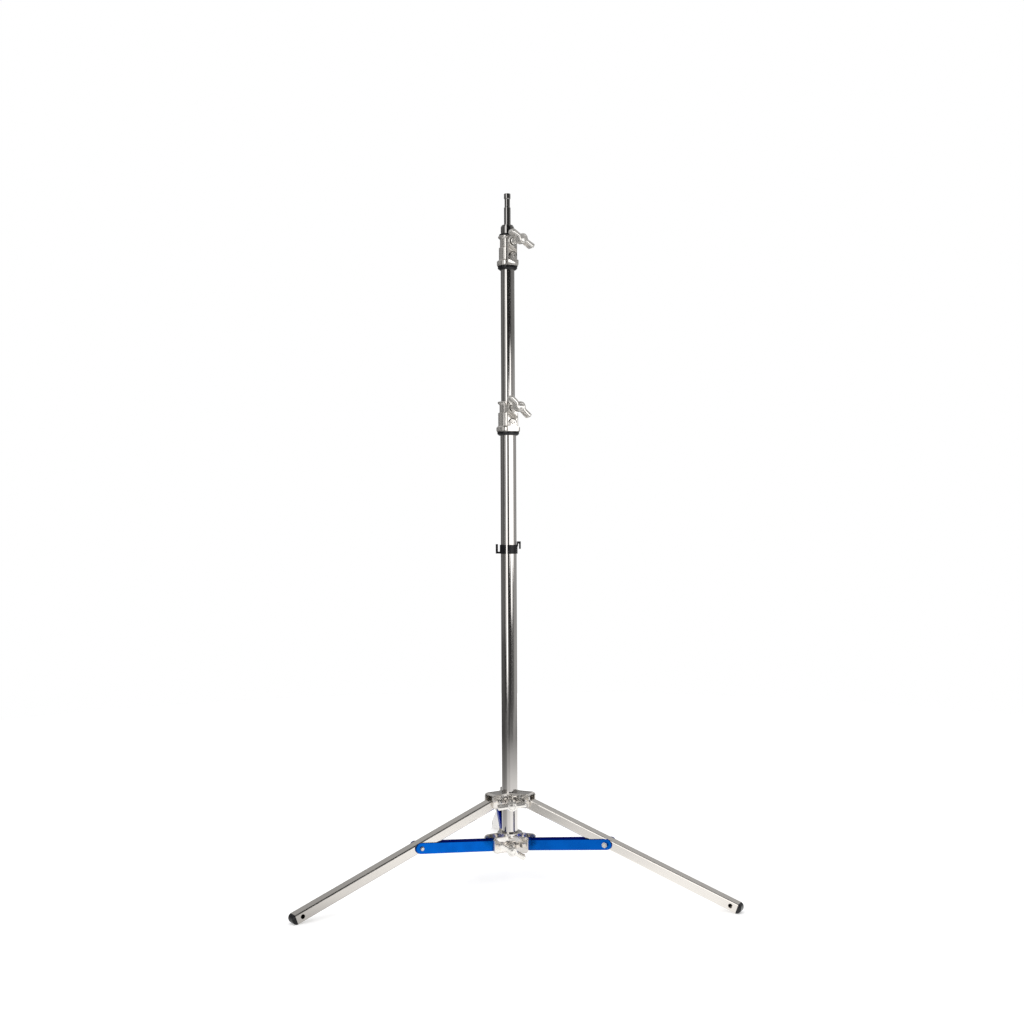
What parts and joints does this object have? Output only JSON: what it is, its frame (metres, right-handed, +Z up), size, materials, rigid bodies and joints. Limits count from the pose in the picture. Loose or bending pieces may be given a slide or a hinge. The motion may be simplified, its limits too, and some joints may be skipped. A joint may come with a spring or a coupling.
{
  "type": "lighting stand",
  "caption": "Telescopic lighting stand with folding square legs, channel braces, clamp collars with T handles and a grooved top stud.",
  "frame": {"origin": "on the floor, under the middle of the bounding box of the spread legs; the column axis stands at x = 0, y = -0.1385 m", "axes": "+Z up along the column, +Y the way the rear leg points, +X to the right seen from the side with the hub handles"},
  "size_m": [1.0084, 0.874, 1.6626],
  "materials": {
    "chrome_tube": "polished chrome plate",
    "satin_casting": "satin cast metal",
    "bright_steel": "bright zinc plate",
    "blue_brace": "blue satin",
    "black_plastic": "matte black",
    "white_nylon": "natural nylon",
    "brass": "plain brass"
  },
  "bodies": {
    "lower_hub": {"lower_brace_hub": "satin_casting", "lower_hub_pad": "brass"},
    "lower_handle": {"lower_hub_t_handle": "satin_casting", "lower_hub_clamp_screw": "bright_steel"},
    "column": {"base_column": "chrome_tube", "column_end_plug": "black_plastic", "middle_clamp_collar": "satin_casting", "middle_collar_ring": "black_plastic", "middle_collar_bolt": "bright_steel", "middle_clamp_pad": "brass", "cable_clip": "black_plastic"},
    "middle_handle": {"middle_t_handle": "satin_casting", "middle_clamp_screw": "bright_steel"},
    "riser_1": {"riser_1_tube": "chrome_tube", "riser_1_bush": "white_nylon", "top_clamp_collar": "satin_casting", "top_collar_ring": "black_plastic", "top_wiper_ring": "black_plastic", "top_collar_bolt": "bright_steel", "top_clamp_pad": "brass"},
    "top_handle": {"top_t_handle": "satin_casting", "top_clamp_screw": "bright_steel"},
    "riser_2": {"riser_2_tube": "chrome_tube", "riser_2_bush": "white_nylon", "stud_base": "chrome_tube", "stud": "chrome_tube"},
    "upper_hub": {"upper_leg_hub": "satin_casting", "upper_hub_pad": "brass", "left_leg_bolt": "bright_steel", "right_leg_bolt": "bright_steel", "rear_leg_bolt": "bright_steel", "left_leg_nut": "bright_steel", "right_leg_nut": "bright_steel", "rear_leg_nut": "bright_steel"},
    "upper_handle": {"upper_hub_t_handle": "satin_casting", "upper_hub_clamp_screw": "bright_steel"},
    "left_leg": {"left_leg_tube": "chrome_tube", "left_foot_cap": "black_plastic", "left_brace_bolt": "bright_steel", "left_brace_nut": "bright_steel"},
    "left_brace": {"left_brace": "blue_brace", "left_brace_pin": "bright_steel"},
    "right_leg": {"right_leg_tube": "chrome_tube", "right_foot_cap": "black_plastic", "right_brace_bolt": "bright_steel", "right_brace_nut": "bright_steel"},
    "right_brace": {"right_brace": "blue_brace", "right_brace_pin": "bright_steel"},
    "rear_leg": {"rear_leg_tube": "chrome_tube", "rear_foot_cap": "black_plastic", "rear_brace_bolt": "bright_steel", "rear_brace_nut": "bright_steel"},
    "rear_brace": {"rear_brace": "blue_brace", "rear_brace_pin": "bright_steel"}
  },
  "joints": [
    {"name": "base_slide", "type": "slide", "parent": "lower_hub", "child": "column", "axis": [0, 0, 1], "range_m": [-0.08, 0]},
    {"name": "riser_1_slide", "type": "slide", "parent": "column", "child": "riser_1", "axis": [0, 0, 1], "range_m": [-0.31, 0.4]},
    {"name": "riser_2_slide", "type": "slide", "parent": "riser_1", "child": "riser_2", "axis": [0, 0, 1], "range_m": [0, 0.72]},
    {"name": "fold", "type": "slide", "parent": "lower_hub", "child": "upper_hub", "axis": [0, 0, 1], "range_m": [0, 0.33762]},
    {"name": "lower_handle_turn", "type": "hinge", "parent": "lower_hub", "child": "lower_handle", "pos_m": [0, -0.18845, 0.0954], "axis": [0, -1, 0], "range_deg": [0, 270]},
    {"name": "upper_handle_turn", "type": "hinge", "parent": "upper_hub", "child": "upper_handle", "pos_m": [0, -0.18845, 0.2014], "axis": [0, -1, 0], "range_deg": [0, 270]},
    {"name": "middle_handle_turn", "type": "hinge", "parent": "column", "child": "middle_handle", "pos_m": [0.01775, -0.1852, 1.1446], "axis": [0.3551, -0.9348, 0], "range_deg": [0, 270]},
    {"name": "top_handle_turn", "type": "hinge", "parent": "riser_1", "child": "top_handle", "pos_m": [0.02409, -0.18227, 1.5436], "axis": [0.4818, -0.8763, 0], "range_deg": [0, 270]},
    {"name": "left_leg_hinge", "type": "hinge", "parent": "upper_hub", "child": "left_leg", "pos_m": [-0.03464, -0.15845, 0.2038], "axis": [0.5, -0.866, 0], "range_deg": [-0.05, 67.55]},
    {"name": "left_brace_hinge", "type": "hinge", "parent": "left_leg", "child": "left_brace", "pos_m": [-0.2199, -0.26542, 0.122], "axis": [0.5, -0.866, 0], "range_deg": [-149.78, 0.05]},
    {"name": "right_leg_hinge", "type": "hinge", "parent": "upper_hub", "child": "right_leg", "pos_m": [0.03464, -0.15845, 0.2038], "axis": [0.5, 0.866, 0], "range_deg": [-0.05, 67.55]},
    {"name": "right_brace_hinge", "type": "hinge", "parent": "right_leg", "child": "right_brace", "pos_m": [0.2199, -0.26542, 0.122], "axis": [0.5, 0.866, 0], "range_deg": [-149.78, 0.05]},
    {"name": "rear_leg_hinge", "type": "hinge", "parent": "upper_hub", "child": "rear_leg", "pos_m": [0, -0.09845, 0.2038], "axis": [-1, 0, 0], "range_deg": [-0.05, 67.55]},
    {"name": "rear_brace_hinge", "type": "hinge", "parent": "rear_leg", "child": "rear_brace", "pos_m": [0, 0.11547, 0.122], "axis": [-1, 0, 0], "range_deg": [-149.78, 0.05]}
  ],
  "couplings": [
    {"joint": "left_leg_hinge", "follows": "fold", "rad_per_m": 3.4894},
    {"joint": "left_brace_hinge", "follows": "fold", "rad_per_m": -7.7405},
    {"joint": "right_leg_hinge", "follows": "fold", "rad_per_m": 3.4894},
    {"joint": "right_brace_hinge", "follows": "fold", "rad_per_m": -7.7405},
    {"joint": "rear_leg_hinge", "follows": "fold", "rad_per_m": 3.4894},
    {"joint": "rear_brace_hinge", "follows": "fold", "rad_per_m": -7.7405}
  ]
}
